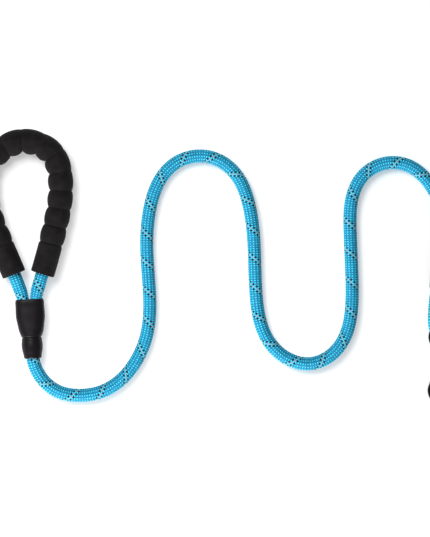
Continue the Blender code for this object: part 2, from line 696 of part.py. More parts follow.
handle_frame = empty("handle_frame", (*HANDLE_PLACE, 0), (0, 0, HANDLE_TURN))
hook_sleeve_frame = empty("hook_sleeve_frame", (*HOOK_SLEEVE_PLACE, 0), (0, 0, HOOK_SLEEVE_TURN))
snap_frame = empty("snap_frame", (*EYE_PLACE, EYE_HEIGHT), (SNAP_TILT, 0, 0))
bolt_frame = empty("bolt_frame", (HOUSING_X, 0, 0), (0, 0, 0), snap_frame)
bpy.context.view_layer.update()

make_handle(handle_frame)
make_sleeve("hook", hook_sleeve_frame)
make_free_rope(handle_frame, hook_sleeve_frame)
make_hook_loop(hook_sleeve_frame)
make_eye(snap_frame)
make_snap_body(snap_frame)
make_bolt(bolt_frame)
make_spring(bolt_frame)
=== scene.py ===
"""Looks of a training leash laid out on a pale floor: braided rope, foam grip, moulded sleeves, bolt snap.

Metres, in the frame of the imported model. Each visible solid is replaced by a finely made piece of the same
size and place, and carries a material made for it.
"""

import math

import bmesh
import bpy
import numpy as np
from mathutils import Matrix, Vector, noise


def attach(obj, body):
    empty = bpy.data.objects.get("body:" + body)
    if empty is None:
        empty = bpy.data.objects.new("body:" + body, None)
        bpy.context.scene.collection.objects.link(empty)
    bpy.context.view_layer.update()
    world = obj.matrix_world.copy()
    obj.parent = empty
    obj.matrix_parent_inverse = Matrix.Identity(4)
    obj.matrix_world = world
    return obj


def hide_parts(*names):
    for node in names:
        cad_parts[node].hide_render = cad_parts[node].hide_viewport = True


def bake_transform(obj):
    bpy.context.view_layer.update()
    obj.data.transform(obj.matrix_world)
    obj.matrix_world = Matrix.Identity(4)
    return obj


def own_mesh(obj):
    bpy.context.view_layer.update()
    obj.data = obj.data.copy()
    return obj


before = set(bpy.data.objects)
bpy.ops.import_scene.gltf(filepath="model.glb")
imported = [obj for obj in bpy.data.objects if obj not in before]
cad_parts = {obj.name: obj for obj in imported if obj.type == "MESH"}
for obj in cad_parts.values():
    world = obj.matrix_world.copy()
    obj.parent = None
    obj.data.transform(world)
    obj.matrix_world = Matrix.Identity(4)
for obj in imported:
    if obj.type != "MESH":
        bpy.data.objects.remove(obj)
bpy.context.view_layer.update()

# ---------------------------------------------------------------- sizes and places, as in the CAD

MM = 0.001
TOUCH_GAP, BORE_GAP, LIE_GAP = 0.0003, 0.0006, 0.0001

# Rope, full size, squeezed in a crimp and drawn in at a sleeve's mouth
ROPE_RADIUS = 0.00725
ROPE_LIE = ROPE_RADIUS + LIE_GAP
SQUEEZED_RADIUS = ROPE_RADIUS - 0.00135
MOUTH_RADIUS = ROPE_RADIUS - 0.00085
ROPE_BORE = ROPE_RADIUS + BORE_GAP

# Foam grip: ribs between two plain collars
RIB_COUNT, RIB_PITCH = 14, 0.0193
COLLAR_LENGTH = 0.0335
GROOVE_RADIUS = ROPE_BORE + 0.00355
COLLAR_RADIUS = ROPE_BORE + 0.00505
RIB_RADIUS = ROPE_BORE + 0.0058
GRIP_HEIGHT = RIB_RADIUS + LIE_GAP

# Sleeves: distances run from the neck's end, up the barrel to its mouth
NECK_LENGTH, BARREL_LENGTH = 0.0226, 0.0405
BARREL_START = NECK_LENGTH + TOUCH_GAP
NECK_END = BARREL_START - 0.00002
MOUTH = BARREL_START + BARREL_LENGTH
STRAND_SPREAD = SQUEEZED_RADIUS + 0.0005
FERRULE_END = MOUTH - 0.0040
FERRULE_START = FERRULE_END - 0.0145
CRIMP_ENTRY = FERRULE_START - 0.0015
CRIMP_ROOM_X = STRAND_SPREAD + SQUEEZED_RADIUS + 0.0015 + TOUCH_GAP
CRIMP_ROOM_Z = SQUEEZED_RADIUS + 0.0022 + TOUCH_GAP
MOUTH_SPREAD = MOUTH_RADIUS + 0.00055
SLEEVE_HEIGHT = ROPE_BORE + 0.00335

# A strand's radius at distances past the sleeve's mouth: squeezed in the crimp, and full size outside
STRAND_RADII = [
    (-0.036, ROPE_RADIUS - TOUCH_GAP), (-0.030, 0.0066), (-0.022, SQUEEZED_RADIUS),
    (-0.003, SQUEEZED_RADIUS), (0.0, MOUTH_RADIUS), (0.010, ROPE_RADIUS),
]
# The neck's wall round the rope, at shares of its length from the rope's end
NECK_WALLS = [
    (0.0, 0.00075), (0.03, 0.00125), (0.14, 0.00185), (0.33, 0.00275), (0.52, 0.00335),
    (0.71, 0.00335), (0.86, 0.00295), (0.955, 0.00262), (1.0, 0.00185),
]
# The barrel's walls beside the two strands and above them, at shares of its length from the mouth
BARREL_WALLS = [
    (0.0, 0.0008, 0.0009), (0.024, 0.0011, 0.0014), (0.16, 0.0013, 0.0016), (0.33, 0.0015, 0.0017),
    (0.50, 0.0013, 0.0018), (0.64, 0.0018, 0.0020), (0.79, 0.0028, 0.0024), (0.89, 0.0034, 0.0026),
    (0.955, 0.0031, 0.0027), (0.982, 0.0029, 0.0025), (1.0, 0.0023, 0.0018),
]
# The room in the barrel, from the rope's bore, 0, to the crimp's size, 1, at shares from the mouth
ROOM_START = (MOUTH - CRIMP_ENTRY + 0.0005) / BARREL_LENGTH
ROOM_TAPER = [(0.0, 1.0), (0.22, 0.82), (0.54, 0.50), (0.80, 0.15), (1.0, 0.01)]
BARREL_ROOM = [(0.0, 0.94), (0.05, 1.0)]
BARREL_ROOM += [(ROOM_START + along * (1 - ROOM_START), widening) for along, widening in ROOM_TAPER]

# Where each sleeve's neck ends, and how far the sleeve is turned
HANDLE_PLACE, HANDLE_TURN = (-0.1944, -0.0988), math.radians(3.46)
HOOK_SLEEVE_PLACE, HOOK_SLEEVE_TURN = (0.2481, 0.0382), math.radians(176.5)
EYE_PLACE = (0.2427, HOOK_SLEEVE_PLACE[1] - MOUTH - 0.0513)

# The two sides of the hand loop, from the sleeve to the top: across the handle, and on from the mouth
LOOP_RIGHT = [
    (0.0102, 0.0121), (0.0157, 0.0268), (0.0261, 0.0569), (0.0329, 0.0787), (0.0381, 0.0985),
    (0.0407, 0.1187), (0.0398, 0.1381), (0.0334, 0.1541), (0.0221, 0.1634),
]
LOOP_LEFT = [
    (-0.0098, 0.0121), (-0.0144, 0.0268), (-0.0250, 0.0569), (-0.0326, 0.0787), (-0.0377, 0.0985),
    (-0.0400, 0.1187), (-0.0387, 0.1365), (-0.0321, 0.1507), (-0.0214, 0.1602),
]
LOOP_TOP = (0.0, 0.1687)

# Route of the free rope between the two sleeves
ROUTE = [
    (-0.1866, -0.1183), (-0.1689, -0.1336), (-0.1443, -0.1384), (-0.1197, -0.1338),
    (-0.0988, -0.1202), (-0.0833, -0.0998), (-0.0735, -0.0760), (-0.0697, -0.0460),
    (-0.0715, -0.0065), (-0.0728, 0.0321), (-0.0694, 0.0620), (-0.0608, 0.0883),
    (-0.0437, 0.1089), (-0.0180, 0.1177), (0.0066, 0.1119), (0.0258, 0.0931),
    (0.0361, 0.0668), (0.0409, 0.0374), (0.0426, 0.0042), (0.0438, -0.0257),
    (0.0476, -0.0557), (0.0579, -0.0809), (0.0767, -0.0983), (0.1018, -0.1045),
    (0.1253, -0.0945), (0.1403, -0.0733), (0.1465, -0.0418), (0.1463, -0.0022),
    (0.1447, 0.0385), (0.1471, 0.0738), (0.1585, 0.0965), (0.1810, 0.1096),
    (0.2056, 0.1080), (0.2270, 0.0917), (0.2409, 0.0674),
]
NECK_LIFT = 0.0011

# Swivel eye, and the rope loop's two legs that hold it
RING_RADIUS, RING_WIRE = 0.01375, 0.00225
EYE_ROLL = math.radians(30)
STEM_RADIUS, STEM_COLLAR_RADIUS = 0.0025, 0.0036
HEAD_RADIUS, HEAD_THICKNESS, HEAD_GAP = 0.0040, 0.0024, 0.0007
LEG_SPREAD, LEG_RUN = 0.0080, 0.0155
UPPER_LEG_DROP, LOWER_LEG_LIFT = 0.0032, 0.0005
BAR_GAP, STRAND_LIFT = 0.0007, 0.0003

# Snap, on the middle line of the eye: its body, then its bolt, stud and spring
BOLT_RADIUS = 0.0025
BORE_RADIUS = BOLT_RADIUS + TOUCH_GAP
SOCKET_TOP, SOCKET_RADIUS, SOCKET_WALL, SOCKET_FLOOR = -0.0195, 0.0065, 0.0053, 0.0035
WINDOW_HEIGHT, WINDOW_WIDTH = HEAD_THICKNESS + 0.0031, 2 * (HEAD_RADIUS + HEAD_GAP)
HOUSING_X, HOUSING_RADIUS = 0.0110, BORE_RADIUS + 0.0027
HOUSING_TOP = -0.0205
HOUSING_BOTTOM = HOUSING_TOP - 0.0257
GATE = 0.0083
TIP_LEVEL = HOUSING_BOTTOM - GATE
BOW_OUTER, BOW_INNER, BOW_START = 0.0150, 0.0085, 152
BOW_CENTRE = TIP_LEVEL - 0.0027
BOW_THICKNESS, BOW_ROUNDING = 0.0075, 0.0018
ROOF_LEVEL = HOUSING_BOTTOM + 0.0042

BOLT_TRAVEL = GATE - TOUCH_GAP
BOLT_LENGTH = 0.0182
BOLT_TIP = TIP_LEVEL + TOUCH_GAP
BOLT_REAR = BOLT_TIP + BOLT_LENGTH
BORE_END = HOUSING_TOP - 0.0018
STUD_Y = BOLT_REAR - 0.0045
STUD_SHANK, STUD_NECK, STUD_KNOB = 0.0012, 0.0018, 0.0033
STUD_TOP = HOUSING_RADIUS + 0.0036
SPRING_RADIUS, SPRING_WIRE, SPRING_TURNS = BOLT_RADIUS - 0.0006, 0.0003, 7

# The bar of the eye lies in the crook of the rope loop, over the strand that is on the surface.
STRAND_TO_BAR = ROPE_RADIUS + RING_WIRE + BAR_GAP
STRAND_RISE = (STRAND_TO_BAR - LEG_SPREAD * math.sin(EYE_ROLL)) / math.cos(EYE_ROLL)
BAR_HEIGHT = ROPE_LIE + STRAND_LIFT + STRAND_RISE
NOSE_REACH = RING_RADIUS + BOW_OUTER - BOW_CENTRE
SNAP_TILT = math.asin(BAR_HEIGHT / math.hypot(BOW_THICKNESS / 2, NOSE_REACH)) - math.atan2(
    BOW_THICKNESS / 2, NOSE_REACH
)
EYE_HEIGHT = BAR_HEIGHT - RING_RADIUS * math.sin(SNAP_TILT)

HANDLE = Matrix.LocRotScale((*HANDLE_PLACE, 0), Matrix.Rotation(HANDLE_TURN, 3, "Z"), None)
HOOK_SLEEVE = Matrix.LocRotScale(
    (*HOOK_SLEEVE_PLACE, 0), Matrix.Rotation(HOOK_SLEEVE_TURN, 3, "Z"), None
)
SNAP = Matrix.LocRotScale((*EYE_PLACE, EYE_HEIGHT), Matrix.Rotation(SNAP_TILT, 3, "X"), None)
BOLT = SNAP @ Matrix.Translation((HOUSING_X, 0, 0))

# ---------------------------------------------------------------- camera, floor and light

CAMERA_AIM = Vector((0.00015, -0.0027, ROPE_RADIUS))
VIEW_HEIGHT = 0.5746
LENS, SENSOR = 300, 36


def add_object(name, data):
    made = bpy.data.objects.new(name, data)
    bpy.context.scene.collection.objects.link(made)
    return made


def add_camera():
    camera = add_object("camera", bpy.data.cameras.new("camera"))
    camera.data.lens, camera.data.sensor_width = LENS, SENSOR
    camera.location = CAMERA_AIM + Vector((0, 0, VIEW_HEIGHT * LENS / SENSOR))
    camera.data.clip_end = 20
    bpy.context.scene.camera = camera


def add_softbox(name, place, size, power, shadow=True):
    """A square area light that faces the middle of the leash."""
    light = bpy.data.lights.new(name, "AREA")
    light.shape, light.size, light.energy = "SQUARE", size, power
    light.use_shadow = shadow
    softbox = add_object(name, light)
    softbox.location = place
    softbox.rotation_euler = (CAMERA_AIM - Vector(place)).to_track_quat("-Z", "Y").to_euler()


def add_stage():
    mesh = bpy.data.meshes.new("floor")
    reach = 6
    corners = [(-reach, -reach, 0), (reach, -reach, 0), (reach, reach, 0), (-reach, reach, 0)]
    mesh.from_pydata(corners, [], [(0, 1, 2, 3)])
    floor = add_object("floor", mesh)
    mesh.materials.append(white_paper())
    add_softbox("key_softbox", (-0.75, 0.8, 1.7), 1.0, 30)
    add_softbox("fill_softbox", (-0.7, -1.7, 0.75), 0.9, 52, shadow=False)
    world = bpy.data.worlds.new("studio")
    world.use_nodes = True
    world.node_tree.nodes["Background"].inputs["Color"].default_value = (1, 1, 1, 1)
    world.node_tree.nodes["Background"].inputs["Strength"].default_value = 0.30
    bpy.context.scene.world = world
    bpy.context.scene.view_settings.view_transform = "Standard"


# ---------------------------------------------------------------- node and colour helpers


def srgb(code):
    """A linear RGBA colour from a hex sRGB one."""
    values = [int(code[i : i + 2], 16) / 255 for i in (1, 3, 5)]
    return (*(v / 12.92 if v <= 0.04045 else ((v + 0.055) / 1.055) ** 2.4 for v in values), 1)


def add_node(tree, kind, inputs=(), **settings):
    """Adds a node. `inputs` gives a node, a socket or a value for each input, in order or by name."""
    made = tree.nodes.new(kind)
    for name, value in settings.items():
        setattr(made, name, value)
    for name, value in inputs.items() if isinstance(inputs, dict) else enumerate(inputs):
        if isinstance(value, bpy.types.Node):
            value = value.outputs[0]
        if isinstance(value, bpy.types.NodeSocket):
            tree.links.new(value, made.inputs[name])
        else:
            made.inputs[name].default_value = value
    return made


def new_material(name, **values):
    """A material with these values on its Principled shader, and the tree and the shader."""
    made = bpy.data.materials.new(name)
    made.use_nodes = True
    shader = made.node_tree.nodes["Principled BSDF"]
    for socket, value in values.items():
        shader.inputs[socket.replace("_", " ").title().replace("Ior", "IOR")].default_value = value
    return made, made.node_tree, shader


def white_paper():
    """Seamless paper: matt and even, so that only soft contact shadows show on it."""
    return new_material("seamless_paper", base_color=srgb("#EFEFEF"), roughness=0.95)[0]


# ---------------------------------------------------------------- routes

ROUTE_STEP = 0.0015


def smooth_route(points, spacing):
    """Even steps of about `spacing` on the natural cubic spline through `points`."""
    knots = np.array(points, dtype=float)
    step = np.linalg.norm(np.diff(knots, axis=0), axis=1)
    at = np.concatenate(([0.0], np.cumsum(step)))
    slope = np.diff(knots, axis=0) / step[:, None]
    system = np.eye(len(knots))
    right = np.zeros_like(knots)
    for i in range(1, len(knots) - 1):
        system[i, i - 1 : i + 2] = step[i - 1], 2 * (step[i - 1] + step[i]), step[i]
        right[i] = 6 * (slope[i] - slope[i - 1])
    bend = np.linalg.solve(system, right)
    fine = np.linspace(0, at[-1], 40 * len(knots))
    i = np.clip(np.searchsorted(at, fine, side="right") - 1, 0, len(step) - 1)
    width = step[i, None]
    to_next, from_last = (at[i + 1] - fine)[:, None], (fine - at[i])[:, None]
    curve = (bend[i] * to_next**3 + bend[i + 1] * from_last**3) / (6 * width)
    curve += (knots[i] / width - bend[i] * width / 6) * to_next
    curve += (knots[i + 1] / width - bend[i + 1] * width / 6) * from_last
    count = max(2, round(route_length(curve) / spacing) + 1)
    return points_at(curve, np.linspace(0, route_length(curve), count))


def distances_along(route):
    return np.concatenate(([0.0], np.cumsum(np.linalg.norm(np.diff(route, axis=0), axis=1))))


def route_length(route):
    return distances_along(route)[-1]


def points_at(route, distances):
    travelled = distances_along(route)
    return np.column_stack([np.interp(distances, travelled, axis) for axis in np.array(route).T])


def placed(matrix, points):
    return [tuple(matrix @ Vector(point)) for point in points]


def strand_end(side, joined):
    """Points of one strand inside a sleeve, from its deepest point to the mouth."""
    crimped = [
        (side * STRAND_SPREAD, CRIMP_ENTRY, SLEEVE_HEIGHT),
        (side * STRAND_SPREAD, 0.5 * (FERRULE_START + FERRULE_END), SLEEVE_HEIGHT),
        (side * MOUTH_SPREAD, MOUTH, SLEEVE_HEIGHT),
    ]
    if not joined:
        return crimped
    run = CRIMP_ENTRY - BARREL_START
    swing = [
        (side * offset * STRAND_SPREAD, BARREL_START + share * run, SLEEVE_HEIGHT)
        for share, offset in ((0.0, 0.0), (0.08, 0.0), (0.16, 0.0), (0.32, 0.06), (0.64, 0.52))
    ]
    return swing + crimped


def strand_radii(route, tail_length, joined_length):
    """The rope's radius at each point of a loop whose two ends are in a sleeve."""
    travelled = distances_along(route)
    past_mouth = np.minimum(travelled - tail_length, travelled[-1] - joined_length - travelled)
    return np.interp(past_mouth, *zip(*STRAND_RADII))


def free_rope_route():
    """The centre line of the rope between the sleeves, up both necks."""
    inner_end = (0, NECK_LENGTH, SLEEVE_HEIGHT)
    in_neck = (0, NECK_LENGTH / 2, SLEEVE_HEIGHT)
    at_exit = (0, 0, SLEEVE_HEIGHT - 0.0002)
    floor = [(x, y, ROPE_LIE) for x, y in ROUTE]
    floor[0] = (*ROUTE[0], ROPE_LIE + NECK_LIFT)
    floor[-1] = (*ROUTE[-1], ROPE_LIE + NECK_LIFT / 2)
    points = placed(HANDLE, [inner_end, in_neck, at_exit])
    points += floor + placed(HOOK_SLEEVE, [at_exit, in_neck, inner_end])
    return smooth_route(points, ROUTE_STEP)


def loop_route(tail, middle, joined):
    """The centre line and radii of a rope loop, from its tail's end to its joined end."""
    route = smooth_route(tail + middle + joined[::-1], ROUTE_STEP)
    return route, strand_radii(route, route_length(tail), route_length(joined))


def hand_loop_route():
    outline = LOOP_LEFT + [LOOP_TOP] + LOOP_RIGHT[::-1]
    rise = (GRIP_HEIGHT + SLEEVE_HEIGHT) / 2
    heights = [rise] + [GRIP_HEIGHT] * (len(outline) - 2) + [rise]
    middle = [(across, MOUTH + on, height) for (across, on), height in zip(outline, heights)]
    ends = [placed(HANDLE, strand_end(-1, False)), placed(HANDLE, strand_end(1, True))]
    return loop_route(ends[0], placed(HANDLE, middle), ends[1])


def hook_loop_route():
    bar = Vector((EYE_PLACE[0], EYE_PLACE[1] + RING_RADIUS * math.cos(SNAP_TILT), BAR_HEIGHT))
    strand = Vector((LEG_SPREAD, 0, -STRAND_RISE))
    down = Vector((0, -strand.length, 0))
    turns = np.radians([0, 45, 90, 135, 180])
    crook = [bar - strand * math.cos(turn) + down * math.sin(turn) for turn in turns]
    upper = (bar.x - LEG_SPREAD, bar.y + LEG_RUN, BAR_HEIGHT + STRAND_RISE - UPPER_LEG_DROP)
    lower = (bar.x + LEG_SPREAD, bar.y + LEG_RUN, ROPE_LIE + STRAND_LIFT + LOWER_LEG_LIFT)
    middle = [upper] + [tuple(point) for point in crook] + [lower]
    tail = placed(HOOK_SLEEVE, strand_end(1, False))
    joined = placed(HOOK_SLEEVE, strand_end(-1, True))
    return loop_route(tail, middle, joined)


def route_curve(name, points, radii):
    """A poly curve along `points`, which carries the radius at each one."""
    curve = bpy.data.curves.new(name, "CURVE")
    curve.dimensions = "3D"
    curve.twist_mode = "MINIMUM"
    spline = curve.splines.new("POLY")
    spline.points.add(len(points) - 1)
    for point, place_at, radius in zip(spline.points, points, np.broadcast_to(radii, len(points))):
        point.co = (*place_at, 1)
        point.radius = radius
    return add_object(name, curve)


# ---------------------------------------------------------------- braided rope

CARRIERS = 12
LAY_LENGTH = 0.0314
BRAID_SIDES = 4 * CARRIERS
YARN_RELIEF = 0.0008
BUNDLES = 7
MATH, VECTOR_MATH = "ShaderNodeMath", "ShaderNodeVectorMath"


def add_input(tree, name, kind, value=None):
    made = tree.interface.new_socket(name, in_out="INPUT", socket_type=kind)
    if value is not None:
        made.default_value = value
    return made


def braid_tree():
    """A tube along a route, swollen into the crossing yarns of a plain braid.

    The yarns that lean right and those that lean left are counted round the rope. Each crossing is one
    whole number of both, and the yarn on top alternates. The UV map holds the turn and the lays travelled.
    """
    tree = bpy.data.node_groups.new("plain_braid", "GeometryNodeTree")
    add_input(tree, "Route", "NodeSocketGeometry")
    add_input(tree, "Carriers", "NodeSocketInt", CARRIERS)
    add_input(tree, "Sides", "NodeSocketInt", BRAID_SIDES)
    add_input(tree, "Lay Length", "NodeSocketFloat", LAY_LENGTH)
    add_input(tree, "Yarn Relief", "NodeSocketFloat", YARN_RELIEF)
    add_input(tree, "Sheath", "NodeSocketMaterial")
    tree.interface.new_socket("Rope", in_out="OUTPUT", socket_type="NodeSocketGeometry")
    given = add_node(tree, "NodeGroupInput").outputs
    carriers, sides, lay = given["Carriers"], given["Sides"], given["Lay Length"]

    # A flat grid, with a row for each small step along the rope and a column for each side of it
    length = add_node(tree, "GeometryNodeCurveLength", (given["Route"],))
    row_step = add_node(tree, MATH, (lay, sides), operation="DIVIDE")
    row_count = add_node(tree, MATH, (length, row_step), operation="DIVIDE")
    rows = add_node(tree, MATH, (row_count,), operation="ROUND")
    grid = add_node(tree, "GeometryNodeMeshGrid", {
        "Size X": 1.0, "Size Y": 1.0,
        "Vertices X": add_node(tree, MATH, (rows, 1.0), operation="ADD"),
        "Vertices Y": add_node(tree, MATH, (sides, 1.0), operation="ADD"),
    })
    share = add_node(tree, "ShaderNodeSeparateXYZ", (grid.outputs["UV Map"],)).outputs
    along, turn = share["X"], share["Y"]

    # The count of yarns that lean right and left, the one on top, and how high each point of it stands
    steps = add_node(tree, MATH, (along, rows), operation="MULTIPLY")
    lays = add_node(tree, MATH, (steps, sides), operation="DIVIDE")
    both = [add_node(tree, MATH, (turn, lays), operation=way) for way in ("ADD", "SUBTRACT")]
    both = [add_node(tree, MATH, (way, carriers), operation="MULTIPLY") for way in both]
    whole = [add_node(tree, MATH, (yarns,), operation="FLOOR") for yarns in both]
    cells = add_node(tree, MATH, whole, operation="ADD")
    left_on_top = add_node(tree, MATH, (cells, 2.0), operation="FLOORED_MODULO")
    part = [add_node(tree, MATH, (yarns,), operation="FRACT") for yarns in both]
    part = [add_node(tree, MATH, (portion, math.pi), operation="MULTIPLY") for portion in part]
    right, left = [add_node(tree, MATH, (portion,), operation="SINE") for portion in part]
    over_width = add_node(tree, "ShaderNodeMix", {"Factor": left_on_top, "A": right, "B": left})
    over_length = add_node(tree, "ShaderNodeMix", {"Factor": left_on_top, "A": left, "B": right})
    over_width = add_node(tree, MATH, (over_width, 0.6), operation="POWER")
    over_length = add_node(tree, MATH, (over_length, 0.4), operation="POWER")
    crown = add_node(tree, MATH, (over_width, over_length), operation="MULTIPLY")
    dip = add_node(tree, MATH, (1.0, crown), operation="SUBTRACT")
    valley = add_node(tree, MATH, (dip, given["Yarn Relief"]), operation="MULTIPLY")

    # The grid wrapped round the route, and drawn together at its two ends
    line = add_node(tree, "GeometryNodeSampleCurve", {
        "Curves": given["Route"], "Value": add_node(tree, "GeometryNodeInputRadius"),
        "Length": add_node(tree, MATH, (along, length), operation="MULTIPLY"),
    }, mode="LENGTH").outputs
    to_end = add_node(tree, MATH, (1.0, along), operation="SUBTRACT")
    inside = add_node(tree, MATH, (along, to_end), operation="MULTIPLY")
    not_an_end = add_node(tree, MATH, (inside, 1e-7), operation="GREATER_THAN")
    reach = add_node(tree, MATH, (line["Value"], valley), operation="SUBTRACT")
    reach = add_node(tree, MATH, (reach, not_an_end), operation="MULTIPLY")
    angle = add_node(tree, MATH, (turn, 2 * math.pi), operation="MULTIPLY")
    side = add_node(tree, VECTOR_MATH, (line["Tangent"], line["Normal"]), operation="CROSS_PRODUCT")
    offset = []
    for axis, wave in ((line["Normal"], "COSINE"), (side, "SINE")):
        swing = add_node(tree, MATH, (angle,), operation=wave)
        swing = add_node(tree, MATH, (swing, reach), operation="MULTIPLY")
        offset.append(add_node(tree, VECTOR_MATH, {0: axis, "Scale": swing}, operation="SCALE"))
    offset = add_node(tree, VECTOR_MATH, offset, operation="ADD")
    place_at = add_node(tree, VECTOR_MATH, (line["Position"], offset), operation="ADD")
    stored = add_node(tree, "GeometryNodeStoreNamedAttribute", {
        "Geometry": grid, "Name": "UVMap",
        "Value": add_node(tree, "ShaderNodeCombineXYZ", (turn, lays)),
    }, data_type="FLOAT2", domain="CORNER")
    shaped = add_node(tree, "GeometryNodeSetPosition", {"Geometry": stored, "Position": place_at})
    merged = add_node(tree, "GeometryNodeMergeByDistance", {"Geometry": shaped, "Distance": 1e-5})
    smooth = add_node(tree, "GeometryNodeSetShadeSmooth", {"Geometry": merged})
    real = add_node(tree, "GeometryNodeRealizeInstances", {"Geometry": smooth})
    painted = add_node(tree, "GeometryNodeSetMaterial", {"Geometry": real, "Material": given["Sheath"]})
    add_node(tree, "NodeGroupOutput", {"Rope": painted})
    return tree


def plain_mesh(source):
    """The mesh that an object comes to with its modifiers, or its curve's bevel."""
    bpy.context.view_layer.update()
    graph = bpy.context.evaluated_depsgraph_get()
    return bpy.data.meshes.new_from_object(source.evaluated_get(graph))


def grown(name, source, tree, **inputs):
    """The plain mesh object that a node tree makes from `source`, whose object goes."""
    modifier = source.modifiers.new(name, "NODES")
    modifier.node_group = tree
    for socket in tree.interface.items_tree:
        if socket.item_type == "SOCKET" and socket.name in inputs:
            modifier[socket.identifier] = inputs[socket.name]
    mesh = plain_mesh(source)
    bpy.data.objects.remove(source)
    return tidied(add_object(name, mesh))


def tidied(made):
    """Closes seams and turns every face outwards."""
    shape = bmesh.new()
    shape.from_mesh(made.data)
    bmesh.ops.remove_doubles(shape, verts=shape.verts, dist=1e-6)
    bmesh.ops.recalc_face_normals(shape, faces=shape.faces)
    shape.to_mesh(made.data)
    shape.free()
    made.data.name = made.name
    return made


def braided_polyester():
    """Round braid of bright polyester filament yarn, with two dark carriers and a pale one between.

    The filaments give a soft sheen. The yarns dip under each other, so each stitch is painted light on its
    crown, as a painted highlight, and deep navy in the valleys round it, as painted shade. The yarns that
    lean left are painted lighter, as a painted highlight.
    """
    made, tree, shader = new_material(
        "braided_polyester", roughness=0.5, ior=1.5, specular_ior_level=0.28, sheen_weight=0.03,
        sheen_roughness=0.35,
    )
    uv = add_node(tree, "ShaderNodeUVMap", uv_map="UVMap")
    turn, lays = add_node(tree, "ShaderNodeSeparateXYZ", (uv,)).outputs[:2]
    both = [add_node(tree, MATH, (turn, lays), operation=way) for way in ("ADD", "SUBTRACT")]
    both = [add_node(tree, MATH, (way, CARRIERS), operation="MULTIPLY") for way in both]
    whole = [add_node(tree, MATH, (yarns,), operation="FLOOR") for yarns in both]
    part = [add_node(tree, MATH, (yarns,), operation="FRACT") for yarns in both]
    cells = add_node(tree, MATH, whole, operation="ADD")
    left_on_top = add_node(tree, MATH, (cells, 2.0), operation="FLOORED_MODULO")
    arches = [add_node(tree, MATH, (portion, math.pi), operation="MULTIPLY") for portion in part]
    arches = [add_node(tree, MATH, (arch,), operation="SINE") for arch in arches]
    crown = add_node(tree, MATH, arches, operation="MULTIPLY")

    # Each stitch a little lighter or darker than the next, as the yarn twists
    stitch = add_node(tree, "ShaderNodeCombineXYZ", whole)
    variation = add_node(tree, "ShaderNodeTexWhiteNoise", {"Vector": stitch}, noise_dimensions="2D")
    # Painted highlight: the yarns that lean left are painted lighter than those that lean right, for the
    # light they catch
    bright = add_node(tree, "ShaderNodeMix", {
        "Factor": left_on_top, "A": srgb("#0090BE"), "B": srgb("#3FDCF2"),
    }, data_type="RGBA")
    # Painted shade: the valleys round each crown are painted deep navy, and the crowns lighter, for the shade
    # between the yarns
    valley_shaded = add_node(tree, "ShaderNodeMix", {
        "Factor": add_node(tree, "ShaderNodeMapRange", {"Value": crown, "From Max": 0.6}),
        "A": srgb("#00508E"), "B": bright.outputs["Result"],
    }, data_type="RGBA")
    shades = add_node(tree, "ShaderNodeHueSaturation", {
        "Color": valley_shaded.outputs["Result"],
        "Value": add_node(tree, "ShaderNodeMapRange", {
            "Value": variation.outputs["Value"], "To Min": 0.82, "To Max": 1.14,
        }),
    })

    # The tracer: a pale carrier between two navy ones, seen where it is on top
    carrier = add_node(tree, MATH, (whole[0], CARRIERS), operation="FLOORED_MODULO")
    on_top = add_node(tree, MATH, (1.0, left_on_top), operation="SUBTRACT")
    coloured = shades
    for colour, number in (("#86A8C4", 5.0), ("#02041C", 4.0), ("#02041C", 6.0)):
        chosen = add_node(tree, MATH, (carrier, number, 0.1), operation="COMPARE")
        shown = add_node(tree, MATH, (chosen, on_top), operation="MULTIPLY")
        coloured = add_node(tree, "ShaderNodeMix", {
            "Factor": shown, "A": coloured, "B": srgb(colour),
        }, data_type="RGBA").outputs["Result"]
    tree.links.new(coloured, shader.inputs["Base Color"])

    # Bundles of filaments 0.3 mm wide, seven in each 2.2 mm yarn: a 0.02 mm filament is too fine to show
    across = add_node(tree, "ShaderNodeMix", {"Factor": left_on_top, "A": part[0], "B": part[1]})
    bundles = add_node(tree, MATH, (across, 2 * math.pi * BUNDLES), operation="MULTIPLY")
    bundles = add_node(tree, MATH, (bundles,), operation="SINE")
    rounded = add_node(tree, MATH, (crown, 0.5), operation="POWER")
    height = add_node(tree, MATH, (bundles, 0.12, rounded), operation="MULTIPLY_ADD")
    bump = add_node(tree, "ShaderNodeBump", {"Height": height, "Distance": 0.3 * MM, "Strength": 0.7})
    tree.links.new(bump.outputs["Normal"], shader.inputs["Normal"])
    return made


def finish_piece(made, body, slot, *nodes):
    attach(made, body)
    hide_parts(*nodes)
    return made


def make_ropes():
    braid, sheath = braid_tree(), braided_polyester()
    route = free_rope_route()
    rope = grown("free_rope_braid", route_curve("route", route, ROPE_RADIUS), braid, Sheath=sheath)
    finish_piece(rope, "leash", "rope", "free_rope")
    hand_route, hand_radii = hand_loop_route()
    curve = route_curve("route", hand_route, hand_radii)
    hand_loop = grown("hand_loop_braid", curve, braid, Sheath=sheath)
    finish_piece(hand_loop, "leash", "rope", "handle_loop_rope")
    hook_route, hook_radii = hook_loop_route()
    curve = route_curve("route", hook_route, hook_radii)
    hook_loop = grown("hook_loop_braid", curve, braid, Sheath=sheath)
    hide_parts("hook_loop_rope")
    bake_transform(hook_loop)
    return hand_route


# ---------------------------------------------------------------- shells and solids


def solid(name, shape, material, sharp=35):
    """A mesh object from a bmesh, closed, facing outwards and smooth except at its edges."""
    mesh = bpy.data.meshes.new(name)
    shape.to_mesh(mesh)
    shape.free()
    made = tidied(add_object(name, mesh))
    return smoothed(made, material, sharp)


def smoothed(made, material, sharp=35):
    made.data.shade_smooth()
    made.data.set_sharp_from_angle(angle=math.radians(sharp))
    made.data.materials.clear()
    made.data.materials.append(material)
    return made


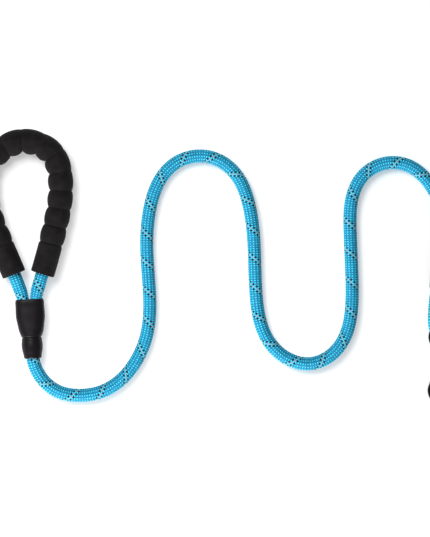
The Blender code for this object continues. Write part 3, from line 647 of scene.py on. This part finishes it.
def lofted(name, rings, material, matrix=None, around=False, sharp=35):
    """A skin over rings of points. With `around` the last ring joins the first. If not, it is capped."""
    shape = bmesh.new()
    matrix = matrix or Matrix()
    rows = [[shape.verts.new(matrix @ Vector(point)) for point in ring] for ring in rings]
    followers = rows[1:] + rows[:1] if around else rows[1:]
    for row, following in zip(rows, followers):
        for i in range(len(row)):
            shape.faces.new((row[i - 1], row[i], following[i], following[i - 1]))
    if not around:
        shape.faces.new(rows[0])
        shape.faces.new(rows[-1])
    return solid(name, shape, material, sharp)


def circle(radius, along, sides, flutes=0, depth=0.0):
    """Points round the Y axis at `along`, with shallow flutes where asked for."""
    turns = np.linspace(0, 2 * math.pi, sides, endpoint=False)
    radii = radius - depth * 0.5 * (1 - np.cos(flutes * turns))
    return [(r * math.cos(turn), along, r * math.sin(turn)) for r, turn in zip(radii, turns)]


def rounded_ends(radius, bottom, top, edge, steps=5):
    """(radius, along) down a rod whose two rims are rounded by `edge`."""
    arc = np.linspace(0, math.pi / 2, steps)
    rim = [(radius - edge * (1 - math.sin(turn)), edge * (1 - math.cos(turn))) for turn in arc]
    return [(r, bottom + up) for r, up in rim] + [(r, top - up) for r, up in rim[::-1]]


def rod(name, profile, material, matrix, sides=64):
    return lofted(name, [circle(radius, along, sides) for radius, along in profile], material, matrix)


def block(name, low, high, matrix, material):
    (x0, y0, z0), (x1, y1, z1) = low, high
    rings = [[(x0, y, z0), (x1, y, z0), (x1, y, z1), (x0, y, z1)] for y in (y0, y1)]
    return lofted(name, rings, material, matrix)


def combined(made, *steps):
    """Joins or cuts with each (operation, tool) in turn. The tools go."""
    for operation, tool in steps:
        modifier = made.modifiers.new(tool.name, "BOOLEAN")
        modifier.operation, modifier.solver, modifier.object = operation, "EXACT", tool
        mesh = plain_mesh(made)
        made.modifiers.clear()
        made.data = mesh
        bpy.data.objects.remove(tool)
    made.data.name = made.name
    return tidied(made)


def wire(name, points, radius, material, matrix, level=4):
    """A round wire along `points`."""
    guide = route_curve(name, placed(matrix, points), 1.0)
    guide.data.bevel_depth = radius
    guide.data.bevel_resolution = level
    guide.data.use_fill_caps = True
    mesh = plain_mesh(guide)
    bpy.data.objects.remove(guide)
    return smoothed(tidied(add_object(name, mesh)), material)


# ---------------------------------------------------------------- foam grip

GRIP_STEPS, GRIP_SIDES, GRIP_EDGE = 481, 72, 0.0007
# How far each way the bend is felt, the radius of a full bend, and how much it moves the creases
BEND_SPAN, FULL_BEND, CREASE_SHIFT = 0.002, 0.045, 0.65
LUMP_WIDTH, LUMP_DEPTH = 0.011, 0.00022


def ribbed_foam():
    """Black closed-cell nitrile foam with a ground surface: matt, a little dusty, its cut cells fine hollows
    with painted shade.
    """
    made, tree, shader = new_material(
        "ground_nitrile_foam", roughness=0.9, ior=1.4, specular_ior_level=0.22, sheen_weight=0.03
    )
    place_at = add_node(tree, "ShaderNodeTexCoord").outputs["Object"]
    # Cells 0.7 mm across: real ones are 0.2 to 0.3 mm, too fine to show
    cells = add_node(tree, "ShaderNodeTexVoronoi", {"Vector": place_at, "Scale": 1 / (0.7 * MM)})
    mottle = add_node(tree, "ShaderNodeTexNoise", {"Vector": place_at, "Scale": 1 / (9 * MM), "Detail": 4.0})
    shade = add_node(tree, "ShaderNodeValToRGB", {"Fac": mottle.outputs["Fac"]})
    ramp = shade.color_ramp.elements
    ramp[0].position, ramp[0].color = 0.35, srgb("#0E0C0C")
    ramp[1].position, ramp[1].color = 0.68, srgb("#191616")
    # Painted shade: the hollows of the cut cells, where the bump sinks, are painted darker
    pit_shade = add_node(tree, "ShaderNodeMapRange", {
        "Value": cells.outputs["Distance"], "From Max": 0.6, "To Min": 0.72, "To Max": 1.06,
    })
    pit_shaded = add_node(tree, "ShaderNodeHueSaturation", {"Color": shade.outputs["Color"], "Value": pit_shade})
    tree.links.new(pit_shaded.outputs["Color"], shader.inputs["Base Color"])
    bump = add_node(tree, "ShaderNodeBump", {
        "Height": cells.outputs["Distance"], "Distance": 0.15 * MM, "Strength": 0.5,
    })
    tree.links.new(bump.outputs["Normal"], shader.inputs["Normal"])
    return made


def rib_crown(distance, length):
    """How full the grip is at this distance: 1 on a rib's crown or a collar and 0 in a crease."""
    from_end = min(distance, length - distance)
    if from_end < COLLAR_LENGTH:
        return min(1.0, ((COLLAR_LENGTH - from_end) / (0.12 * RIB_PITCH)) ** 0.5)
    across = (distance - COLLAR_LENGTH) / RIB_PITCH % 1
    return max(math.sin(math.pi * across), 0.0) ** 0.55


def make_grip(line, material):
    """The ribbed foam tube. Its creases are deeper inside a bend, where the ribs press together."""
    length = 2 * COLLAR_LENGTH + RIB_COUNT * RIB_PITCH
    up_the_handle = line @ np.array(HANDLE.to_3x3().col[1])
    middle = distances_along(line)[np.argmax(up_the_handle)]
    steps = np.linspace(0, length, GRIP_STEPS)
    steps = steps[(steps > GRIP_EDGE) & (steps < length - GRIP_EDGE)]
    steps = np.concatenate(([0.0, 0.3 * GRIP_EDGE], steps, [length - 0.3 * GRIP_EDGE, length]))
    centres = points_at(line, middle - length / 2 + steps)
    ahead = points_at(line, middle - length / 2 + steps + BEND_SPAN)
    behind = points_at(line, middle - length / 2 + steps - BEND_SPAN)
    rings, bores = [], []
    for distance, centre, front, back in zip(steps, centres, ahead, behind):
        tangent = Vector(front - back).normalized()
        inward = Vector(front + back - 2 * centre)
        bend = min(1.0, inward.length / BEND_SPAN**2 * FULL_BEND)
        inward = inward.normalized() if bend > 0.02 else Vector((0, 0, 0))
        across = tangent.cross(Vector((0, 0, 1))).normalized()
        above = across.cross(tangent)
        from_end = min(distance, length - distance)
        crown = rib_crown(distance, length)
        collar = from_end < COLLAR_LENGTH
        full = COLLAR_RADIUS if collar else RIB_RADIUS
        rim = GRIP_EDGE * max(0.0, 1 - from_end / GRIP_EDGE) ** 2
        ring, bore = [], []
        for turn in np.linspace(0, 2 * math.pi, GRIP_SIDES, endpoint=False):
            towards = across * math.cos(turn) + above * math.sin(turn)
            crease = (RIB_RADIUS - GROOVE_RADIUS) * (1 + CREASE_SHIFT * bend * towards.dot(inward))
            if collar:
                crease = COLLAR_RADIUS - GROOVE_RADIUS
            lump = noise.noise((Vector(centre) + towards * full) / LUMP_WIDTH) * LUMP_DEPTH
            radius = full - (1 - crown) * crease - rim + min(lump, 0.0)
            ring.append(Vector(centre) + towards * radius)
            bore.append(Vector(centre) + towards * ROPE_BORE)
        rings.append(ring)
        bores.append(bore)
    grip = lofted("grip_foam_sleeve", rings + bores[::-1], material, around=True, sharp=50)
    finish_piece(grip, "leash", "foam", "grip_foam")


# ---------------------------------------------------------------- moulded sleeves


def moulded_rubber():
    """Satin black thermoplastic rubber, injection moulded: a spark-eroded grain and a fine parting line."""
    made, tree, shader = new_material("moulded_thermoplastic_rubber", ior=1.5, specular_ior_level=0.17)
    place_at = add_node(tree, "ShaderNodeTexCoord").outputs["Object"]
    # Grain 0.5 mm across: real spark erosion is about 0.05 mm, too fine to show
    grain = add_node(tree, "ShaderNodeTexNoise", {
        "Vector": place_at, "Scale": 1 / (0.5 * MM), "Detail": 3.0, "Roughness": 0.6,
    })
    cloud = add_node(tree, "ShaderNodeTexNoise", {"Vector": place_at, "Scale": 1 / (14 * MM), "Detail": 2.0})
    shade = add_node(tree, "ShaderNodeValToRGB", {"Fac": cloud.outputs["Fac"]})
    ramp = shade.color_ramp.elements
    ramp[0].position, ramp[0].color = 0.35, srgb("#0E0B0E")
    ramp[1].position, ramp[1].color = 0.70, srgb("#141114")
    tree.links.new(shade.outputs["Color"], shader.inputs["Base Color"])
    gloss = add_node(tree, "ShaderNodeMapRange", {
        "Value": cloud.outputs["Fac"], "To Min": 0.36, "To Max": 0.50,
    })
    tree.links.new(gloss.outputs["Result"], shader.inputs["Roughness"])
    height = add_node(tree, "ShaderNodeSeparateXYZ", (place_at,)).outputs["Z"]
    seam = add_node(tree, MATH, (height, SLEEVE_HEIGHT, 0.15 * MM), operation="COMPARE")
    raised = add_node(tree, MATH, (seam, 1.5, grain.outputs["Fac"]), operation="MULTIPLY_ADD")
    bump = add_node(tree, "ShaderNodeBump", {"Height": raised, "Distance": 0.06 * MM, "Strength": 0.6})
    tree.links.new(bump.outputs["Normal"], shader.inputs["Normal"])
    return made


def oval(along, half_width, half_thickness, sides=96):
    """A ring of a sleeve: round where it holds one strand, and a flattened oval round two."""
    fullness = 2 / (2 + 1.4 * (half_width / half_thickness - 1))
    ring = []
    for turn in np.linspace(0, 2 * math.pi, sides, endpoint=False):
        across, up = math.cos(turn), math.sin(turn)
        x = half_width * math.copysign(abs(across) ** fullness, across)
        z = half_thickness * math.copysign(abs(up) ** fullness, up)
        ring.append((x, along, z + SLEEVE_HEIGHT))
    return ring


def barrel_ring(share, side_wall=0.0, top_wall=0.0):
    widening = np.interp(share, *zip(*BARREL_ROOM))
    half_width = ROPE_BORE + widening * (CRIMP_ROOM_X - ROPE_BORE) + side_wall
    half_thickness = ROPE_BORE + widening * (CRIMP_ROOM_Z - ROPE_BORE) + top_wall
    return MOUTH - share * BARREL_LENGTH, half_width, half_thickness


def make_sleeve(end, matrix, material, slimmer=0.0):
    """One moulded cover: the round neck on the rope, and the oval barrel, made `slimmer`, over the crimp."""
    profile = [(share * NECK_END, ROPE_BORE + wall) for share, wall in NECK_WALLS]
    outside = [oval(along, radius, radius) for along, radius in smooth_route(profile, 0.0005)]
    inside = [oval(along, ROPE_BORE, ROPE_BORE) for along in (NECK_END, NECK_END / 2, 0.0)]
    neck = lofted(f"{end}_neck_cover", outside + inside, material, matrix, around=True)
    finish_piece(neck, "leash", "sleeve_rubber", f"{end}_neck")

    profile = [barrel_ring(share, side - slimmer, top) for share, side, top in BARREL_WALLS]
    outside = [oval(*ring) for ring in smooth_route(profile, 0.0006)]
    inside = [oval(*barrel_ring(share)) for share, widening in BARREL_ROOM[::-1]]
    barrel = lofted(f"{end}_barrel_cover", outside + inside, material, matrix, around=True)
    finish_piece(barrel, "leash", "sleeve_rubber", f"{end}_barrel")


def pressed_aluminium():
    """Soft aluminium tube pressed flat round the rope: dull, with drawing lines along it."""
    made, tree, shader = new_material("pressed_aluminium", base_color=srgb("#C9CACC"), metallic=1.0)
    place_at = add_node(tree, "ShaderNodeTexCoord").outputs["Object"]
    stretched = add_node(tree, "ShaderNodeMapping", {"Vector": place_at, "Scale": (1.0, 0.05, 1.0)})
    lines = add_node(tree, "ShaderNodeTexNoise", {
        "Vector": stretched, "Scale": 1 / (0.3 * MM), "Detail": 2.0,
    })
    gloss = add_node(tree, "ShaderNodeMapRange", {
        "Value": lines.outputs["Fac"], "To Min": 0.32, "To Max": 0.55,
    })
    tree.links.new(gloss.outputs["Result"], shader.inputs["Roughness"])
    bump = add_node(tree, "ShaderNodeBump", {"Height": lines.outputs["Fac"], "Distance": 0.03 * MM})
    tree.links.new(bump.outputs["Normal"], shader.inputs["Normal"])
    return made


# ---------------------------------------------------------------- snap


def plated_metal(name, dark, light, gloss_low, gloss_high):
    """Die-cast zinc or steel, tumbled and plated: glossy, softly rippled, and worn lighter on its edges."""
    made, tree, shader = new_material(name, metallic=1.0)
    place_at = add_node(tree, "ShaderNodeTexCoord").outputs["Object"]
    cloud = add_node(tree, "ShaderNodeTexNoise", {
        "Vector": place_at, "Scale": 1 / (5 * MM), "Detail": 5.0,
    })
    ripple = add_node(tree, "ShaderNodeTexNoise", {
        "Vector": place_at, "Scale": 1 / (1.2 * MM), "Detail": 2.0,
    })
    edges = add_node(tree, "ShaderNodeNewGeometry").outputs["Pointiness"]
    worn = add_node(tree, "ShaderNodeMapRange", {
        "Value": edges, "From Min": 0.53, "From Max": 0.62, "To Max": 0.55,
    })
    shade = add_node(tree, "ShaderNodeMix", {
        "Factor": worn, "A": srgb(dark), "B": srgb(light),
    }, data_type="RGBA")
    tree.links.new(shade.outputs["Result"], shader.inputs["Base Color"])
    gloss = add_node(tree, "ShaderNodeMapRange", {
        "Value": cloud.outputs["Fac"], "From Min": 0.3, "From Max": 0.7,
        "To Min": gloss_low, "To Max": gloss_high,
    })
    tree.links.new(gloss.outputs["Result"], shader.inputs["Roughness"])
    bump = add_node(tree, "ShaderNodeBump", {"Height": ripple.outputs["Fac"], "Distance": 0.04 * MM})
    tree.links.new(bump.outputs["Normal"], shader.inputs["Normal"])
    return made


def make_eye(metal):
    """The ring that hangs in the rope loop, with the stem and head that turn in the snap."""
    rolled = SNAP @ Matrix.Rotation(-EYE_ROLL, 4, "Y")
    section = [(x, z) for x, y, z in circle(RING_WIRE, 0, 28)]
    rings = []
    for turn in np.linspace(0, 2 * math.pi, 112, endpoint=False):
        out = Vector((math.cos(turn), math.sin(turn), 0))
        rings.append([out * (RING_RADIUS + across) + Vector((0, 0, up)) for across, up in section])
    ring = lofted("swivel_eye_ring", rings, metal, rolled, around=True)
    head_top = SOCKET_TOP - SOCKET_WALL - TOUCH_GAP
    profile = [
        (STEM_COLLAR_RADIUS * 0.8, -RING_RADIUS - RING_WIRE / 2),
        (STEM_COLLAR_RADIUS * 0.96, -RING_RADIUS - RING_WIRE - 0.0001),
        (STEM_COLLAR_RADIUS, -RING_RADIUS - RING_WIRE - 0.0004), (STEM_COLLAR_RADIUS, SOCKET_TOP + TOUCH_GAP),
        (STEM_RADIUS, SOCKET_TOP + TOUCH_GAP), (STEM_RADIUS, head_top), (HEAD_RADIUS, head_top),
        (HEAD_RADIUS, head_top - 0.6 * HEAD_THICKNESS),
        (0.9 * HEAD_RADIUS, head_top - 0.82 * HEAD_THICKNESS), (0.6 * HEAD_RADIUS, head_top - HEAD_THICKNESS),
    ]
    stem = rod("stem", profile, metal, SNAP @ Matrix.Rotation(math.radians(3), 4, "Y"))
    smoothed(combined(ring, ("UNION", stem)), metal)
    finish_piece(ring, "eye", "black_metal", "swivel_eye")


def bow_point(radius, degrees):
    angle = math.radians(degrees)
    return radius * math.cos(angle), BOW_CENTRE + radius * math.sin(angle)


def plate_outline():
    """The flat outline of spine, bow and root, anticlockwise from the socket's left side."""
    rise = TIP_LEVEL - BOW_CENTRE
    outer_end = 360 + math.degrees(math.asin(rise / BOW_OUTER))
    inner_end = math.degrees(math.asin(rise / BOW_INNER))
    spine_top, spine_side = SOCKET_TOP - 0.0015, SOCKET_RADIUS - 0.0007
    outer_spine = [
        (-spine_side, spine_top), (-spine_side - 0.0004, spine_top - 0.010),
        (-BOW_OUTER * 0.66, ROOF_LEVEL + 0.002), bow_point(BOW_OUTER, BOW_START),
    ]
    inner_spine = [
        bow_point(BOW_INNER, BOW_START), (-BOW_INNER * 0.68, ROOF_LEVEL - 0.0048),
        (-BOW_INNER * 0.28, ROOF_LEVEL - 0.0011), (BOW_INNER * 0.3, ROOF_LEVEL),
    ]
    outline = list(smooth_route(outer_spine, 0.0015)[:-1])
    outline += [bow_point(BOW_OUTER, degrees) for degrees in np.linspace(BOW_START, outer_end, 72)]
    outline += [bow_point(BOW_INNER, degrees) for degrees in np.linspace(inner_end, BOW_START - 360, 66)]
    outline += list(smooth_route(inner_spine, 0.0015)[1:])
    outline += [(HOUSING_X, ROOF_LEVEL), (HOUSING_X, HOUSING_TOP - 0.0015), (spine_side, spine_top)]
    return outline


def make_plate(metal):
    """The flat part of the casting, with rounded edges."""
    curve = bpy.data.curves.new("snap_body_casting", "CURVE")
    curve.dimensions, curve.fill_mode = "2D", "BOTH"
    curve.extrude = BOW_THICKNESS / 2 - BOW_ROUNDING
    curve.bevel_depth, curve.bevel_resolution, curve.offset = BOW_ROUNDING, 5, -BOW_ROUNDING
    spline = curve.splines.new("POLY")
    outline = plate_outline()
    spline.points.add(len(outline) - 1)
    for point, (x, y) in zip(spline.points, outline):
        point.co = (x, y, 0, 1)
    spline.use_cyclic_u = True
    flat = add_object("snap_body_casting", curve)
    mesh = plain_mesh(flat)
    bpy.data.objects.remove(flat)
    mesh.transform(SNAP)
    return smoothed(tidied(add_object("snap_body_casting", mesh)), metal)


def make_snap_body(metal):
    """The cast body: the bow and spine, the swivel's socket with its window, and the bolt's housing."""
    window_top = SOCKET_TOP - SOCKET_WALL
    socket_bottom = window_top - WINDOW_HEIGHT - SOCKET_FLOOR
    half_window, cut = WINDOW_WIDTH / 2, 0.02
    side_room = STUD_NECK + TOUCH_GAP
    turned_a_little = BOLT @ Matrix.Rotation(math.radians(2), 4, "Y")
    socket = rounded_ends(SOCKET_RADIUS, socket_bottom, SOCKET_TOP, 0.0009)
    housing = rounded_ends(HOUSING_RADIUS, HOUSING_BOTTOM, HOUSING_TOP, 0.0012)
    body = combined(
        make_plate(metal),
        ("UNION", rod("socket", socket, metal, SNAP)),
        ("UNION", rod("housing", housing, metal, BOLT)),
        ("DIFFERENCE", block("window", (-half_window, window_top - WINDOW_HEIGHT, -cut),
                             (half_window, window_top, cut), SNAP, metal)),
        ("DIFFERENCE", rod("stem_bore", [(STEM_RADIUS + TOUCH_GAP, window_top - 0.002),
                                         (STEM_RADIUS + TOUCH_GAP, SOCKET_TOP + 0.002)], metal, SNAP)),
        ("DIFFERENCE", rod("bolt_bore", [(BORE_RADIUS, HOUSING_BOTTOM - 0.002),
                                         (BORE_RADIUS, BORE_END)], metal, turned_a_little)),
        ("DIFFERENCE", block("stud_slot", (-side_room, STUD_Y - side_room, 0),
                             (side_room, STUD_Y + BOLT_TRAVEL + side_room, cut), BOLT, metal)),
    )
    finish_piece(smoothed(body, metal), "snap", "black_metal", "snap_body")


def make_bolt(plating):
    """The sliding bolt with the thumb stud set into it."""
    profile = rounded_ends(BOLT_RADIUS, BOLT_TIP, BOLT_REAR, 0.0006)
    hole_at = BOLT @ Matrix.Translation((0, STUD_Y, 0)) @ Matrix.Rotation(math.pi / 2, 4, "X")
    hole_radius = STUD_SHANK + TOUCH_GAP
    hole = rod("stud_hole", [(hole_radius, -TOUCH_GAP), (hole_radius, 0.02)], plating, hole_at, 32)
    bolt = combined(rod("sliding_bolt", profile, plating, BOLT), ("DIFFERENCE", hole))
    finish_piece(smoothed(bolt, plating), "bolt", "bolt_steel", "snap_bolt")

    low, high = HOUSING_RADIUS + 0.0010, STUD_TOP - 0.0019
    shank = [(STUD_SHANK, 0.0), (STUD_SHANK, BOLT_RADIUS + TOUCH_GAP), (STUD_NECK, BOLT_RADIUS + TOUCH_GAP)]
    shank += [(STUD_NECK, HOUSING_RADIUS + 0.0006), (0.9 * STUD_KNOB, HOUSING_RADIUS + 0.0006)]
    rings = [circle(radius, up, 120) for radius, up in shank]
    rings += [circle(STUD_KNOB, up, 120, flutes=20, depth=0.00022) for up in np.linspace(low, high, 4)]
    crown = [(0.95, 0.0014), (0.85, 0.0009), (0.66, 0.00047), (0.45, 0.0002), (0.2, 0.00005)]
    rings += [circle(share * STUD_KNOB, STUD_TOP - down, 120) for share, down in crown]
    stud = lofted("fluted_thumb_stud", rings, plating, hole_at)
    finish_piece(stud, "bolt", "bolt_steel", "thumb_stud")


def make_spring(material):
    """The coil behind the bolt, made at one length with the bolt closed; the real coil shortens as the bolt
    is drawn back.
    """
    first = BOLT_REAR + SPRING_WIRE + TOUCH_GAP
    last = BORE_END - SPRING_WIRE - TOUCH_GAP
    turns = np.linspace(0, 2 * math.pi * SPRING_TURNS, SPRING_TURNS * 32 + 1)
    rises = np.linspace(first, last, len(turns))
    points = [(SPRING_RADIUS * math.cos(t), up, SPRING_RADIUS * math.sin(t)) for t, up in zip(turns, rises)]
    spring = wire("coil_spring", points, SPRING_WIRE, material, BOLT)
    finish_piece(spring, "snap", "spring_steel", "bolt_spring")
    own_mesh(spring)


add_camera()
add_stage()
hand_line = make_ropes()
make_grip(hand_line, ribbed_foam())
rubber = moulded_rubber()
make_sleeve("handle", HANDLE, rubber)
make_sleeve("hook", HOOK_SLEEVE, rubber, slimmer=0.0006)
crimp_metal = pressed_aluminium()
for ferrule in ("handle_ferrule", "hook_ferrule"):
    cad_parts[ferrule].material_slots[0].material = crimp_metal
black_nickel = plated_metal("black_nickel_on_zinc", "#232326", "#8A8A8E", 0.24, 0.40)
make_eye(black_nickel)
make_snap_body(black_nickel)
plating = plated_metal("black_nickel_on_steel", "#3A3A3E", "#A8A8AC", 0.18, 0.32)
make_bolt(plating)
make_spring(plated_metal("drawn_spring_steel", "#6E6E72", "#B4B4B8", 0.20, 0.34))
